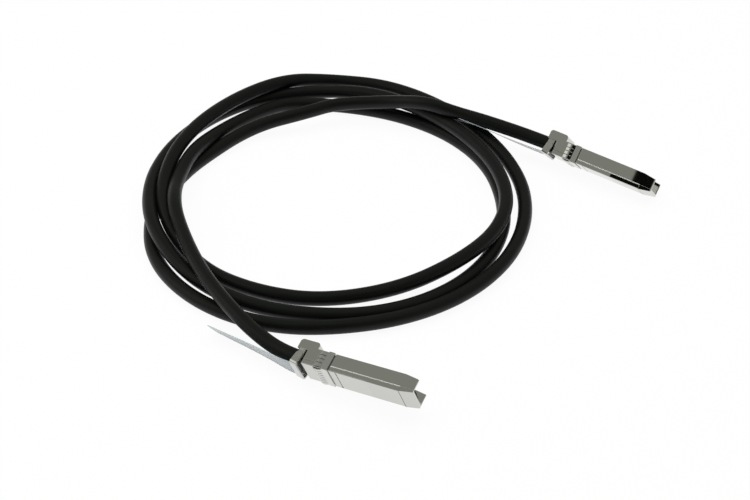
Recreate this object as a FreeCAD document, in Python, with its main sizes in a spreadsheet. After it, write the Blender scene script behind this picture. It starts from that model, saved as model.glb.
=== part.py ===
import FreeCAD, Part
import math
import os
import re
from FreeCAD import Placement, Rotation, Vector

# A direct attach copper cable: two pluggable ends on one loosely coiled cable.
# Each plug has its own frame: x runs from the back to the tip, which is at x = 0,
# y is across the plug and z goes from the latch side (0) up to the cover side.

doc = FreeCAD.newDocument("direct_attach_cable")
os.makedirs("parts", exist_ok=True)

sizes = {
    # die-cast body
    "bodyWidth": 13.4,
    "bodyHeight": 8.5,
    "bodyBack": 54.7,
    "wall": 1.0,
    "floorThick": 1.2,
    "noseLength": 6.3,
    "noseRoof": 2.2,
    "mouthLength": 10.4,
    "tipBevelTop": 1.12,
    "tipBevelBottom": 0.87,
    "tipChamfer": 0.4,
    "edgeChamfer": 0.25,
    "seamHeight": 6.2,
    "seamGap": 0.04,
    "seamChamfer": 0.12,
    "cavityBack": 50.0,
    # stop block and neck at the back
    "blockFront": 47.5,
    "blockBack": 60.0,
    "blockDrop": 3.0,
    "blockRound": 1.5,
    "ledgeHeight": 1.7,
    "notchRound": 1.6,
    "neckWidth": 9.2,
    "neckHeight": 7.9,
    # cover
    "coverRoof": 1.1,
    "coverPocketFront": 8.0,
    "coverStepAt": 37.5,
    "coverStepWide": 0.3,
    "coverStepDeep": 0.15,
    "dimpleRadius": 0.45,
    "dimpleInset": 1.0,
    # groove and spring collar
    "grooveWide": 0.7,
    "grooveDeep": 0.45,
    "collarFront": 41.5,
    "collarBand": 2.9,
    "collarLength": 7.3,
    "collarSheet": 0.25,
    "collarGap": 0.03,
    "fingerRise": 0.55,
    "fingerSlot": 0.32,
    "fingerMargin": 0.45,
    "collarReturn": 2.6,
    # paddle card
    "cardFront": 3.2,
    "cardBack": 38.0,
    "cardWidth": 9.2,
    "cardThick": 1.0,
    "cardHeight": 2.25,
    "cardGap": 0.05,
    "cardBevel": 0.3,
    "railFront": 12.0,
    "railWidth": 1.5,
    "padPitch": 0.8,
    "padWide": 0.54,
    "padLong": 2.6,
    "padThick": 0.04,
    "padInset": 0.4,
    # cable, ferrule and conductors
    "cableDiameter": 5.8,
    "cableHeight": 3.6,
    "cableStart": 53.4,
    "cableStraight": 68.0,
    "ferruleWall": 0.55,
    "ferruleGap": 0.02,
    "ferruleBack": 61.2,
    "wireDiameter": 0.9,
    "wireStart": 34.5,
    # cover screws
    "screwAt": 39.45,
    "screwSide": 4.6,
    "screwRadius": 0.5,
    "screwHeadRadius": 0.95,
    "screwHead": 0.55,
    "screwTop": 7.7,
    "screwGap": 0.03,
    "postRadius": 1.15,
    # latch
    "bossAt": 45.0,
    "bossLong": 2.4,
    "bossWidth": 2.6,
    "bossDrop": 0.45,
    "slideSheet": 0.5,
    "slideHeight": 0.15,
    "slideGap": 0.1,
    "slideFront": 46.0,
    "slideBridge": 4.0,
    "slideBack": 59.3,
    "slideHalf": 5.4,
    "tineFront": 41.6,
    "tineInner": 1.5,
    "tineOuter": 3.0,
    "tineDrop": 0.5,
    "railInner": 3.6,
    "earFront": 56.2,
    "earInner": 5.3,
    "earTop": 5.2,
    "pullTravel": 2.0,
    "springWire": 0.2,
    "springRoom": 0.7,
    "springGap": 0.3,
    # pull yoke
    "yokeWidth": 13.4,
    "yokeSheet": 0.8,
    "yokeLong": 3.6,
    "yokeTop": 10.0,
    "yokeFoot": 3.1,
    "yokeFront": 55.65,
    "yokeLean": 11.0,
    "yokeRound": 1.5,
    "yokeInnerRound": 0.7,
    "yokeFootRound": 1.7,
    # pull strap
    "strapWidth": 10.4,
    "strapThick": 0.4,
    "strapGap": 0.02,
}

# where the middle of the lay of plugs and coil sits over the surface
sizes["layX"] = 19.87
sizes["layY"] = -11.49

sheet = doc.addObject("Spreadsheet::Sheet", "sizes")
for row, (name, value) in enumerate(sizes.items(), 1):
    sheet.set(f"A{row}", name)
    sheet.set(f"B{row}", str(value))
    sheet.setAlias(f"B{row}", name)
doc.recompute()

# where each plug lies: the tip's lower middle point, then yaw, pitch and roll
lay = Vector(sizes["layX"], sizes["layY"], 0)
plugs = {
    "a": Placement(lay + Vector(-31.5, -88.8, 16.775), Rotation(-29.9, -7.35, 109.9)),
    "b": Placement(lay + Vector(88.85, 64.7, 10.398), Rotation(-33.3, 2.9, 134.25)),
}

# each strap: distance back from the tip, rise over the latch side, shift across, twist
strapStations = {
    "a": [
        (66.0, 8.3, 0.1, 4.0),
        (77.0, 6.4, 0.5, 12.0),
        (88.0, 4.8, 1.0, 20.0),
        (100.0, 3.3, 1.7, 28.0),
        (111.0, 1.9, 2.4, 35.0),
    ],
    "b": [
        (66.0, 9.4, 0.0, 0.0),
        (77.0, 9.4, 0.4, 0.0),
        (92.0, 9.4, 2.2, 0.0),
        (101.0, 9.5, 3.3, 0.0),
        (110.0, 9.8, 4.2, 0.0),
    ],
}


def bind(thing, prop, text):
    """Tie one property to an expression over the sheet's names."""
    thing.setExpression(prop, re.sub(r"\b([a-z]\w*)\b", r"sizes.\1", str(text)))


def at(thing, x, y, z):
    for axis, text in zip("xyz", (x, y, z)):
        bind(thing, f"Placement.Base.{axis}", text)
    return thing


def box(name, x, y, z, length, width, height):
    """A block from its low corner and its three edges."""
    thing = doc.addObject("Part::Box", name)
    bind(thing, "Length", length)
    bind(thing, "Width", width)
    bind(thing, "Height", height)
    return at(thing, x, y, z)


def middleBox(name, x, z, length, width, height):
    """A block that is centred across the plug."""
    return box(name, x, f"-({width}) / 2", z, length, width, height)


def rod(name, x, y, z, radius, height, direction):
    thing = doc.addObject("Part::Cylinder", name)
    bind(thing, "Radius", radius)
    bind(thing, "Height", height)
    thing.Placement.Rotation = Rotation(Vector(0, 0, 1), direction)
    return at(thing, x, y, z)


def fuse(name, shapes):
    thing = doc.addObject("Part::MultiFuse", name)
    thing.Shapes = shapes
    return thing


def cut(name, base, tools):
    """The base without the tools."""
    thing = doc.addObject("Part::Cut", name)
    thing.Base = base
    thing.Tool = tools[0] if len(tools) == 1 else fuse(name + "_tools", tools)
    return thing


def common(name, base, tool):
    thing = doc.addObject("Part::Common", name)
    thing.Base = base
    thing.Tool = tool
    return thing


def soften(kind, name, base, size, wanted):
    """Rounds (Fillet) or bevels (Chamfer) the edges that wanted(edge) picks."""
    doc.recompute()
    thing = doc.addObject("Part::" + kind, name)
    thing.Base = base
    picked = [n for n, edge in enumerate(base.Shape.Edges, 1) if wanted(edge)]
    assert picked, name
    thing.Edges = [(n, sizes[size], sizes[size]) for n in picked]
    return thing


def along(edge, axis):
    """True for a straight edge that runs along x, y or z."""
    if edge.Curve.TypeId != "Part::GeomLine":
        return False
    return abs(abs(getattr(edge.tangentAt(edge.FirstParameter), axis)) - 1) < 1e-6


def near(value, target):
    return abs(value - target) < 1e-3


def finish(thing, label, placement):
    """Names a finished sub-part and puts it where it lies."""
    thing.Label = label
    thing.Placement = placement
    finished.append(thing)


finished = []
sides = (("left", 1), ("right", -1))
xAxis, yAxis, zAxis = Vector(1, 0, 0), Vector(0, 1, 0), Vector(0, 0, 1)


def bevelCutter(name, depth, top):
    """A block that shaves one wide side of the nose down towards the tip."""
    thing = doc.addObject("Part::Box", name)
    bind(thing, "Length", "2 * noseLength")
    bind(thing, "Width", "2 * bodyWidth")
    bind(thing, "Height", "bodyHeight")
    slope = math.degrees(math.atan2(sizes[depth], sizes["noseLength"]))
    if top:
        thing.Placement.Rotation = Rotation(yAxis, slope)
        return at(thing, "-noseLength", "-bodyWidth", "bodyHeight")
    # the lower one reaches down from the bevel, so it starts one height below it
    lean = math.radians(slope)
    height = sizes["bodyHeight"]
    thing.Placement.Rotation = Rotation(yAxis, -slope)
    thing.Placement.Base = Vector(
        height * math.sin(lean) - sizes["noseLength"],
        -sizes["bodyWidth"],
        -height * math.cos(lean),
    )
    return thing


def grooveRing(name):
    """The ring that the groove in front of the collar takes off the body."""
    outer = middleBox(
        name + "_outer",
        "-collarFront",
        "-bodyHeight",
        "grooveWide",
        "2 * bodyWidth",
        "3 * bodyHeight",
    )
    inner = middleBox(
        name + "_inner",
        "-collarFront - 1",
        "grooveDeep",
        "grooveWide + 2",
        "bodyWidth - 2 * grooveDeep",
        "bodyHeight - 2 * grooveDeep",
    )
    return cut(name, outer, [inner])


def slideWays(name):
    """The room that the latch slide needs in the casting, over its whole travel."""
    deep = "slideHeight + slideSheet + slideGap"
    ways = [
        middleBox(
            name + "_bridge_way",
            "-slideFront - slideBridge - pullTravel - slideGap",
            "-slideGap",
            "slideFront + slideBridge + pullTravel + slideGap - tineFront + springRoom",
            "2 * slideHalf + 2 * slideGap",
            "2 * slideGap + slideHeight + slideSheet",
        )
    ]
    for side, sign in sides:
        railEdge = "railInner - slideGap" if sign > 0 else "-slideHalf - slideGap"
        earEdge = "earInner - slideGap" if sign > 0 else "-earInner - slideSheet - slideGap"
        ways.append(
            box(
                f"{name}_rail_way_{side}",
                "-blockBack - 1",
                railEdge,
                0,
                "blockBack - slideFront",
                "slideHalf - railInner + 2 * slideGap",
                deep,
            )
        )
        ways.append(
            box(
                f"{name}_ear_way_{side}",
                "-blockBack - 1",
                earEdge,
                0,
                "blockBack - bodyBack + 1",
                "slideSheet + 2 * slideGap",
                "ledgeHeight + 1",
            )
        )
    return ways


def screwHoles(name):
    holes = []
    for side, sign in sides:
        across = f"{sign} * screwSide"
        holes.append(
            rod(
                f"{name}_hole_{side}", "-screwAt", across, -1, "screwRadius + screwGap", "bodyHeight", zAxis
            )
        )
        holes.append(
            rod(
                f"{name}_seat_{side}",
                "-screwAt",
                across,
                -1,
                "screwHeadRadius + screwGap",
                "1 + screwHead",
                zAxis,
            )
        )
    return holes


def buildHousing(tag, placement):
    """The lower casting: narrow sides, nose, stop block and cable neck."""
    name = f"housing_{tag}"
    trough = middleBox(name + "_trough", "-bodyBack", 0, "bodyBack", "bodyWidth", "seamHeight")
    nose = middleBox(name + "_nose", "-noseLength", 0, "noseLength", "bodyWidth", "bodyHeight")
    block = middleBox(
        name + "_block",
        "-blockBack",
        "-blockDrop",
        "blockBack - blockFront",
        "bodyWidth",
        "blockDrop + ledgeHeight",
    )
    low = -sizes["blockDrop"]
    roundBlock = soften(
        "Fillet",
        name + "_round_block",
        block,
        "blockRound",
        lambda edge: along(edge, "y") and near(edge.CenterOfMass.z, low),
    )
    neck = middleBox(
        name + "_neck", "-blockBack", 0, "blockBack - bodyBack", "neckWidth", "neckHeight"
    )
    solid = fuse(name + "_solid", [trough, nose, roundBlock, neck])
    cavity = middleBox(
        name + "_cavity",
        "-cavityBack",
        "floorThick",
        "cavityBack + 1",
        "bodyWidth - 2 * wall",
        "bodyHeight - noseRoof - floorThick",
    )
    mouth = middleBox(
        name + "_mouth", "-mouthLength", -1, "mouthLength + 1", "bodyWidth - 2 * wall", "floorThick + 1"
    )
    bore = rod(
        name + "_bore",
        "-blockBack - 1",
        0,
        "cableHeight",
        "cableDiameter / 2 + ferruleWall + 2 * ferruleGap",
        "blockBack - cableStart + 1",
        xAxis,
    )
    wireWay = middleBox(
        name + "_wire_way",
        "-cableStart - 0.1",
        "cardHeight",
        "cableStart - cavityBack + 1",
        "cableDiameter",
        "cableDiameter / 2",
    )
    shell = cut(
        name + "_shell",
        solid,
        [
            cavity,
            mouth,
            bore,
            wireWay,
            grooveRing(name + "_groove"),
            bevelCutter(name + "_top_bevel", "tipBevelTop", True),
            bevelCutter(name + "_low_bevel", "tipBevelBottom", False),
        ]
        + slideWays(name),
    )
    boss = middleBox(
        name + "_boss",
        "-bossAt",
        "-bossDrop",
        "bossLong",
        "bossWidth",
        "bossDrop + slideHeight + slideSheet + 2 * slideGap",
    )
    cast = [shell, boss]
    for side, sign in sides:
        cast.append(
            rod(
                f"{name}_post_{side}",
                "-screwAt",
                f"{sign} * screwSide",
                "floorThick / 2",
                "postRadius",
                "seamHeight - floorThick / 2",
                zAxis,
            )
        )
        edge = "bodyWidth / 2 - wall / 2 - railWidth" if sign > 0 else "wall / 2 - bodyWidth / 2"
        cast.append(
            box(
                f"{name}_ledge_{side}",
                "-cardBack",
                edge,
                "floorThick / 2",
                "cardBack - railFront",
                "railWidth",
                "cardHeight - cardGap - floorThick / 2",
            )
        )
    whole = cut(name + "_bored", fuse(name + "_cast", cast), screwHoles(name))
    half = sizes["bodyWidth"] / 2
    tip = soften(
        "Chamfer",
        name + "_tip",
        whole,
        "tipChamfer",
        lambda edge: near(edge.CenterOfMass.x, 0)
        and near(abs(edge.CenterOfMass.y), half)
        and along(edge, "z"),
    )
    finish(tip, name, placement)


def buildCover(tag, placement):
    """The lid of the plug, one wall thick over the card and over the conductors."""
    name = f"cover_{tag}"
    lid = middleBox(
        name + "_lid",
        "-bodyBack",
        "seamHeight + seamGap",
        "bodyBack - noseLength - seamGap",
        "bodyWidth",
        "bodyHeight - seamHeight - seamGap",
    )
    half, top = sizes["bodyWidth"] / 2, sizes["bodyHeight"]
    beveled = soften(
        "Chamfer",
        name + "_beveled",
        lid,
        "edgeChamfer",
        lambda edge: along(edge, "x") and near(edge.CenterOfMass.z, top),
    )
    seamed = soften(
        "Chamfer",
        name + "_seamed",
        beveled,
        "seamChamfer",
        lambda edge: along(edge, "x") and edge.CenterOfMass.z < sizes["seamHeight"] + 0.1,
    )
    pockets = []
    for part, back, front in (
        ("card", "cardBack", "coverPocketFront"),
        ("wire", "cavityBack", "screwAt + postRadius + 0.3"),
    ):
        pockets.append(
            middleBox(
                f"{name}_{part}_pocket",
                f"-({back})",
                "seamHeight - 1",
                f"{back} - ({front})",
                "bodyWidth - 2 * wall",
                "bodyHeight - coverRoof - seamHeight + 1",
            )
        )
    step = middleBox(
        name + "_step",
        "-coverStepAt",
        "bodyHeight - coverStepDeep",
        "coverStepWide",
        "bodyWidth + 2",
        "coverStepDeep + 1",
    )
    dimple = rod(
        name + "_dimple",
        "-coverStepAt",
        "dimpleInset - bodyWidth / 2",
        "bodyHeight - 2 * coverStepDeep",
        "dimpleRadius",
        2,
        zAxis,
    )
    bore = rod(
        name + "_bore",
        "-bodyBack - 1",
        0,
        "cableHeight",
        "cableDiameter / 2 + ferruleWall + 2 * ferruleGap",
        "bodyBack - cavityBack + 2",
        xAxis,
    )
    holes = [
        rod(
            f"{name}_hole_{side}",
            "-screwAt",
            f"{sign} * screwSide",
            "seamHeight - 1",
            "screwRadius + screwGap",
            "screwTop - seamHeight + 1 + screwGap",
            zAxis,
        )
        for side, sign in sides
    ]
    whole = cut(
        name + "_whole", seamed, pockets + [step, dimple, bore, grooveRing(name + "_groove")] + holes
    )
    finish(whole, name, placement)


def fingerPanel(name, top):
    """Bowed contact fingers on the cover side (top) or on a narrow side of the collar."""
    rise = sizes["fingerRise"]
    span = sizes["collarLength"] - sizes["collarBand"]
    bow = (span**2 / 4 + rise**2) / (2 * rise)
    face = "bodyHeight" if top else "bodyWidth / 2"
    wide = "bodyWidth" if top else "bodyHeight"
    direction = yAxis if top else zAxis
    middle = f"-collarFront - collarBand - {span / 2}"
    start = "-bodyWidth / 2 + fingerMargin" if top else "fingerMargin"
    rods = []
    for part, radius in (("outer", bow), ("inner", bow - sizes["collarSheet"])):
        depth = f"{face} + collarGap + collarSheet + {rise} - {bow}"
        if top:
            rods.append(rod(f"{name}_{part}", middle, start, depth, radius, "1", direction))
        else:
            rods.append(rod(f"{name}_{part}", middle, depth, start, radius, "1", direction))
        bind(rods[-1], "Height", f"{wide} - 2 * fingerMargin")
    arch = cut(name + "_arch", rods[0], [rods[1]])
    if top:
        rods[0].Placement.Rotation = rods[1].Placement.Rotation = Rotation(xAxis, -90)
        keep = box(
            name + "_keep",
            f"{middle} - {span / 2}",
            start,
            f"{face} + collarGap",
            str(span),
            f"{wide} - 2 * fingerMargin",
            "2 * fingerRise",
        )
    else:
        keep = box(
            name + "_keep",
            f"{middle} - {span / 2}",
            f"{face} + collarGap",
            start,
            str(span),
            "2 * fingerRise",
            f"{wide} - 2 * fingerMargin",
        )
    panel = common(name + "_bow", arch, keep)
    count = 8 if top else 4
    pitch = (sizes["bodyWidth" if top else "bodyHeight"] - 2 * sizes["fingerMargin"]) / count
    low = (-sizes["bodyWidth"] / 2 if top else 0) + sizes["fingerMargin"]
    slots = []
    for number in range(1, count):
        place = low + number * pitch
        back = f"{middle} - {span / 2} - 1"
        slotName = f"{name}_slot_{number}"
        if top:
            slots.append(
                box(slotName, back, f"{place} - fingerSlot / 2", face, f"{span} + 0.6", "fingerSlot", 2)
            )
        else:
            slots.append(
                box(slotName, back, face, f"{place} - fingerSlot / 2", f"{span} + 0.6", 2, "fingerSlot")
            )
    return cut(name + "_fingers", panel, slots)


def buildCollar(tag, placement):
    """The sheet-metal shielding collar: a band round the body with rows of fingers."""
    name = f"emi_collar_{tag}"
    reach = "collarGap + collarSheet"
    outer = middleBox(
        name + "_outer",
        "-collarFront - collarBand",
        f"-({reach})",
        "collarBand",
        f"bodyWidth + 2 * ({reach})",
        f"bodyHeight + 2 * ({reach})",
    )
    inner = middleBox(
        name + "_inner",
        "-collarFront - collarBand - 1",
        "-collarGap",
        "collarBand + 2",
        "bodyWidth + 2 * collarGap",
        "bodyHeight + 2 * collarGap",
    )
    opening = middleBox(
        name + "_opening",
        "-collarFront - collarBand - 1",
        "-2",
        "collarBand + 2",
        "bodyWidth - 2 * collarReturn",
        "3",
    )
    band = cut(name + "_band", outer, [inner, opening])
    topPanel = fingerPanel(name + "_top", True)
    leftPanel = fingerPanel(name + "_left", False)
    rightPanel = doc.addObject("Part::Mirroring", name + "_right")
    rightPanel.Source = leftPanel
    rightPanel.Normal = yAxis
    finish(fuse(name + "_whole", [band, topPanel, leftPanel, rightPanel]), name, placement)


def buildCard(tag, placement):
    """The paddle card, the gold contacts on both its faces and what is soldered on it."""
    name = f"paddle_card_{tag}"
    board = middleBox(
        name + "_board", "-cardBack", "cardHeight", "cardBack - cardFront", "cardWidth", "cardThick"
    )
    front = -sizes["cardFront"]
    card = soften(
        "Chamfer",
        name + "_beveled",
        board,
        "cardBevel",
        lambda edge: along(edge, "y") and near(edge.CenterOfMass.x, front),
    )
    finish(card, name, placement)
    pads = []
    for face, height in (("upper", "cardHeight + cardThick"), ("lower", "cardHeight - padThick")):
        for number in range(10):
            across = f"{number - 4.5} * padPitch - padWide / 2"
            pads.append(
                box(
                    f"contact_{face}_{number}_{tag}",
                    "-cardFront - padInset - padLong",
                    across,
                    height,
                    "padLong",
                    "padWide",
                    "padThick",
                )
            )
    finish(fuse(f"contacts_{tag}_all", pads), f"contacts_{tag}", placement)
    chips = [
        middleBox(f"memory_{tag}", -24, "cardHeight + cardThick", 3, 4.4, 0.9),
    ]
    for number in range(4):
        chips.append(
            box(
                f"capacitor_{number}_{tag}",
                -15,
                f"{number - 1.5} * 2 - 0.4",
                "cardHeight + cardThick",
                1.6,
                0.8,
                0.6,
            )
        )
    finish(fuse(f"card_parts_{tag}_all", chips), f"card_parts_{tag}", placement)


def buildWires(tag, placement):
    """The conductors from the cut end of the cable to the card."""
    wires = [
        rod(
            f"conductor_{number}_{tag}",
            "-cableStart",
            f"{number - 1.5} * 1.3",
            "cardHeight + cardThick + wireDiameter / 2",
            "wireDiameter / 2",
            "cableStart - wireStart",
            xAxis,
        )
        for number in range(4)
    ]
    finish(fuse(f"conductors_{tag}_all", wires), f"conductors_{tag}", placement)


def buildFerrule(tag, placement):
    """The crimped sleeve round the cable in the neck."""
    radius = "cableDiameter / 2 + ferruleGap"
    long = "ferruleBack - cableStart"
    outer = rod(
        f"ferrule_outer_{tag}", "-ferruleBack", 0, "cableHeight", f"{radius} + ferruleWall", long, xAxis
    )
    inner = rod(
        f"ferrule_inner_{tag}", "-ferruleBack - 1", 0, "cableHeight", radius, f"{long} + 2", xAxis
    )
    finish(cut(f"ferrule_{tag}_whole", outer, [inner]), f"ferrule_{tag}", placement)


def buildScrews(tag, placement):
    screws = []
    for side, sign in sides:
        across = f"{sign} * screwSide"
        shank = rod(
            f"shank_{side}_{tag}", "-screwAt", across, 0, "screwRadius", "screwTop", zAxis
        )
        head = rod(
            f"head_{side}_{tag}", "-screwAt", across, 0, "screwHeadRadius", "screwHead - screwGap", zAxis
        )
        slot = box(
            f"drive_{side}_{tag}", "-screwAt - 1", f"{across} - 0.12", -1, 2, 0.24, "1 + screwHead / 2"
        )
        screws.append(cut(f"screw_{side}_{tag}", fuse(f"screw_body_{side}_{tag}", [shank, head]), [slot]))
    finish(fuse(f"cover_screws_{tag}_all", screws), f"cover_screws_{tag}", placement)


def buildSlide(tag, placement):
    """The latch slide: a bridge with two ramped tines in front, two rails and two ears."""
    name = f"latch_slide_{tag}"
    pieces = [
        middleBox(
            name + "_bridge",
            "-slideFront - slideBridge",
            "slideHeight",
            "slideBridge",
            "2 * slideHalf",
            "slideSheet",
        )
    ]
    for side, sign in sides:
        tineEdge = "tineInner" if sign > 0 else "-tineOuter"
        railEdge = "railInner" if sign > 0 else "-slideHalf"
        earEdge = "earInner" if sign > 0 else "-earInner - slideSheet"
        pieces.append(
            box(
                f"{name}_tine_{side}",
                "-slideFront",
                tineEdge,
                "slideHeight",
                "slideFront - tineFront",
                "tineOuter - tineInner",
                "slideSheet",
            )
        )
        ramp = doc.addObject("Part::Wedge", f"{name}_ramp_{side}")
        for prop, value in (
            ("Xmin", 0),
            ("Ymin", 0),
            ("Zmin", 0),
            ("X2min", 0),
            ("Z2min", 0),
            ("Xmax", "2 * tineDrop"),
            ("X2max", "tineDrop"),
            ("Ymax", "tineDrop + slideSheet / 2"),
            ("Zmax", "tineOuter - tineInner"),
            ("Z2max", "tineOuter - tineInner"),
        ):
            bind(ramp, prop, value)
        ramp.Placement.Rotation = Rotation(xAxis, -90)
        at(ramp, "-tineFront - 2 * tineDrop", tineEdge, "slideHeight + slideSheet / 2")
        pieces.append(ramp)
        pieces.append(
            box(
                f"{name}_rail_{side}",
                "-slideBack",
                railEdge,
                "slideHeight",
                "slideBack - slideFront - slideBridge",
                "slideHalf - railInner",
                "slideSheet",
            )
        )
        pieces.append(
            box(
                f"{name}_ear_{side}",
                "-slideBack",
                earEdge,
                "slideHeight",
                "slideBack - earFront",
                "slideSheet",
                "earTop - slideHeight",
            )
        )
    finish(fuse(name + "_whole", pieces), name, placement)


def buildSprings(tag, placement):
    """Two flat zigzag springs that hold the slide forward, one beside each tine."""
    name = f"latch_springs_{tag}"
    front = sizes["tineFront"] - sizes["springRoom"] + sizes["springGap"]
    back = sizes["slideFront"] - sizes["springGap"]
    legs = 4
    step = (back - front) / legs
    low, high = sizes["tineOuter"] + 0.5, sizes["slideHalf"] - 0.2
    strips = []
    for side, sign in sides:
        zigzag = []
        for leg in range(legs):
            first = Vector(-back + leg * step, sign * (low if leg % 2 else high), 0)
            second = Vector(first.x + step, sign * (high if leg % 2 else low), 0)
            run = second - first
            strip = doc.addObject("Part::Box", f"{name}_{side}_{leg}")
            bind(strip, "Length", f"{run.Length} + springWire")
            bind(strip, "Width", "springWire")
            bind(strip, "Height", "slideSheet / 2")
            strip.Placement.Rotation = Rotation(xAxis, run)
            start = first - run.normalize() * (sizes["springWire"] / 2)
            at(strip, start.x, start.y, "slideHeight + slideSheet / 4")
            zigzag.append(strip)
        strips.append(fuse(f"{name}_{side}", zigzag))
    finish(fuse(name + "_all", strips), name, placement)


def buildYoke(tag, placement):
    """The bent strip over the back of the plug that carries the strap to the slide's ears."""
    name = f"pull_yoke_{tag}"
    outer = middleBox(
        name + "_outer", "-yokeLong / 2", 0, "yokeLong", "yokeWidth", "yokeTop - yokeFoot"
    )
    top = sizes["yokeTop"] - sizes["yokeFoot"]
    bent = soften(
        "Fillet",
        name + "_bent",
        outer,
        "yokeRound",
        lambda edge: along(edge, "x") and near(edge.CenterOfMass.z, top),
    )
    inner = middleBox(
        name + "_inner",
        "-yokeLong",
        -1,
        "2 * yokeLong",
        "yokeWidth - 2 * yokeSheet",
        "yokeTop - yokeFoot - yokeSheet + 1",
    )
    inside = soften(
        "Fillet",
        name + "_inside",
        inner,
        "yokeInnerRound",
        lambda edge: along(edge, "x") and edge.CenterOfMass.z > 1,
    )
    bow = cut(name + "_bow", bent, [inside])
    feet = soften(
        "Fillet",
        name + "_feet",
        bow,
        "yokeFootRound",
        lambda edge: along(edge, "y") and near(edge.CenterOfMass.z, 0),
    )
    pivot = Vector(-sizes["yokeFront"] - sizes["yokeLong"] / 2, 0, sizes["yokeFoot"])
    lean = Placement(pivot, Rotation(yAxis, -sizes["yokeLean"]))
    finish(feet, name, placement.multiply(lean))


def strapFrame(station):
    """The middle of the strap at one station and its direction across."""
    back, rise, shift, twist = station
    turn = math.radians(twist)
    return Vector(-back, shift, rise), Vector(0, math.cos(turn), math.sin(turn))


def strapSection(middle, across, onward, half):
    """A thin upright section of the strap as a closed wire."""
    up = onward.cross(across).normalize() * (sizes["strapThick"] / 2)
    side = across * half
    corners = [middle + side + up, middle - side + up, middle - side - up, middle + side - up]
    return Part.makePolygon(corners + corners[:1])


def buildStrap(tag, placement):
    """The film strap: a loop round the yoke's bridge and one long tail."""
    name = f"pull_strap_{tag}"
    lean = Rotation(yAxis, -sizes["yokeLean"])
    pivot = Vector(-sizes["yokeFront"] - sizes["yokeLong"] / 2, 0, sizes["yokeFoot"])
    gap, thick = sizes["strapGap"], sizes["strapThick"]
    height = sizes["yokeTop"] - sizes["yokeFoot"]
    halfLong, halfWide = sizes["yokeLong"] / 2, sizes["strapWidth"] / 2
    bridge = Part.makeBox(
        2 * (halfLong + gap),
        sizes["strapWidth"] + 2,
        sizes["yokeSheet"] + 2 * gap,
        Vector(-halfLong - gap, -halfWide - 1, height - sizes["yokeSheet"] - gap),
    )
    wrap = Part.makeBox(
        2 * (halfLong + gap + thick),
        sizes["strapWidth"],
        sizes["yokeSheet"] + 2 * (gap + thick),
        Vector(-halfLong - gap - thick, -halfWide, height - sizes["yokeSheet"] - gap - thick),
    )
    rounded = [edge for edge in wrap.Edges if along(edge, "y")]
    loop = wrap.makeFillet(thick, rounded).cut(bridge)
    loop.Placement = Placement(pivot, lean)
    start = pivot + lean.multVec(Vector(-halfLong - gap - thick / 2, 0, height - sizes["yokeSheet"] / 2))
    stations = strapStations[tag]
    frames = [(start, Vector(0, 1, 0))] + [strapFrame(station) for station in stations]
    sections = []
    for number, (middle, across) in enumerate(frames):
        following = frames[min(number + 1, len(frames) - 1)][0]
        before = frames[max(number - 1, 0)][0]
        onward = (following - before).normalize()
        narrow = 1.0 if number < len(frames) - 1 else 0.8
        sections.append(strapSection(middle, across, onward, halfWide * narrow))
    tail = Part.makeLoft(sections, True, False)
    strap = doc.addObject("Part::Feature", name)
    strap.Shape = loop.fuse(tail)
    finish(strap, name, placement)


# ---- the cable: its route over the surface, as in the coil that it lies in ----

# from the near plug up to the coil, after the two points on the plug's own axis
tailAPoints = [
    (-104.0, -48.5, 7.6),
    (-118.5, -29.0, 9.8),
    (-131.5, -6.5, 10.3),
    (-142.4, 17.5, 11.3),
    (-148.6, 38.5, 10.4),
]
# from the coil to the far plug, before the two points on that plug's axis
tailBPoints = [
    (-160.0, 54.5, 2.95),
    (-151.5, 76.0, 2.95),
    (-137.8, 96.5, 3.6),
    (-118.5, 112.8, 5.9),
    (-95.0, 125.3, 8.6),
    (-70.0, 132.2, 10.2),
    (-46.5, 130.4, 13.8),
    (-23.0, 124.2, 16.0),
    (0.9, 116.6, 14.5),
    (17.4, 108.2, 12.9),
]
# the outermost points of the turns in order: left, back, right, front and left again
coilReach = [
    (-150.4, 65.8),
    (-94.0, 140.4),
    (11.3, 47.3),
    (-68.1, -28.4),
    (-163.2, 59.3),
    (-81.8, 154.3),
    (13.2, 54.6),
    (-77.9, -15.5),
    (-157.2, 60.7),
    (-82.7, 167.5),
    (21.8, 55.7),
    (-81.5, -36.6),
    (-161.0, 33.0),
]
# how full each quarter turn is, where 2 is a quarter of an ellipse
coilFullness = [1.8, 2.3, 1.85, 2.05, 2.3, 1.6, 1.85, 1.95, 1.75, 2.0, 2.1, 1.9]
# how high the cable lies, by quarter turns along the coil: it climbs over its own turns
coilHeights = [
    (0.0, 9.0),
    (0.3, 8.9),
    (0.8, 3.3),
    (1.0, 2.95),
    (3.4, 2.95),
    (3.72, 9.0),
    (4.15, 8.7),
    (4.55, 3.2),
    (5.0, 2.95),
    (5.33, 9.1),
    (6.25, 9.0),
    (6.9, 3.3),
    (7.3, 2.95),
    (7.6, 3.0),
    (7.9, 9.3),
    (8.2, 9.4),
    (8.5, 10.2),
    (8.65, 10.0),
    (9.0, 3.6),
    (9.3, 2.95),
    (12.0, 2.95),
]
pointsPerQuarter = 4


def coilHeight(place):
    """The height at one place along the coil, eased between the marks on both sides."""
    for (start, low), (end, high) in zip(coilHeights, coilHeights[1:]):
        if place <= end:
            share = (1 - math.cos(math.pi * (place - start) / (end - start))) / 2
            return low + (high - low) * share
    return coilHeights[-1][1]


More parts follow.
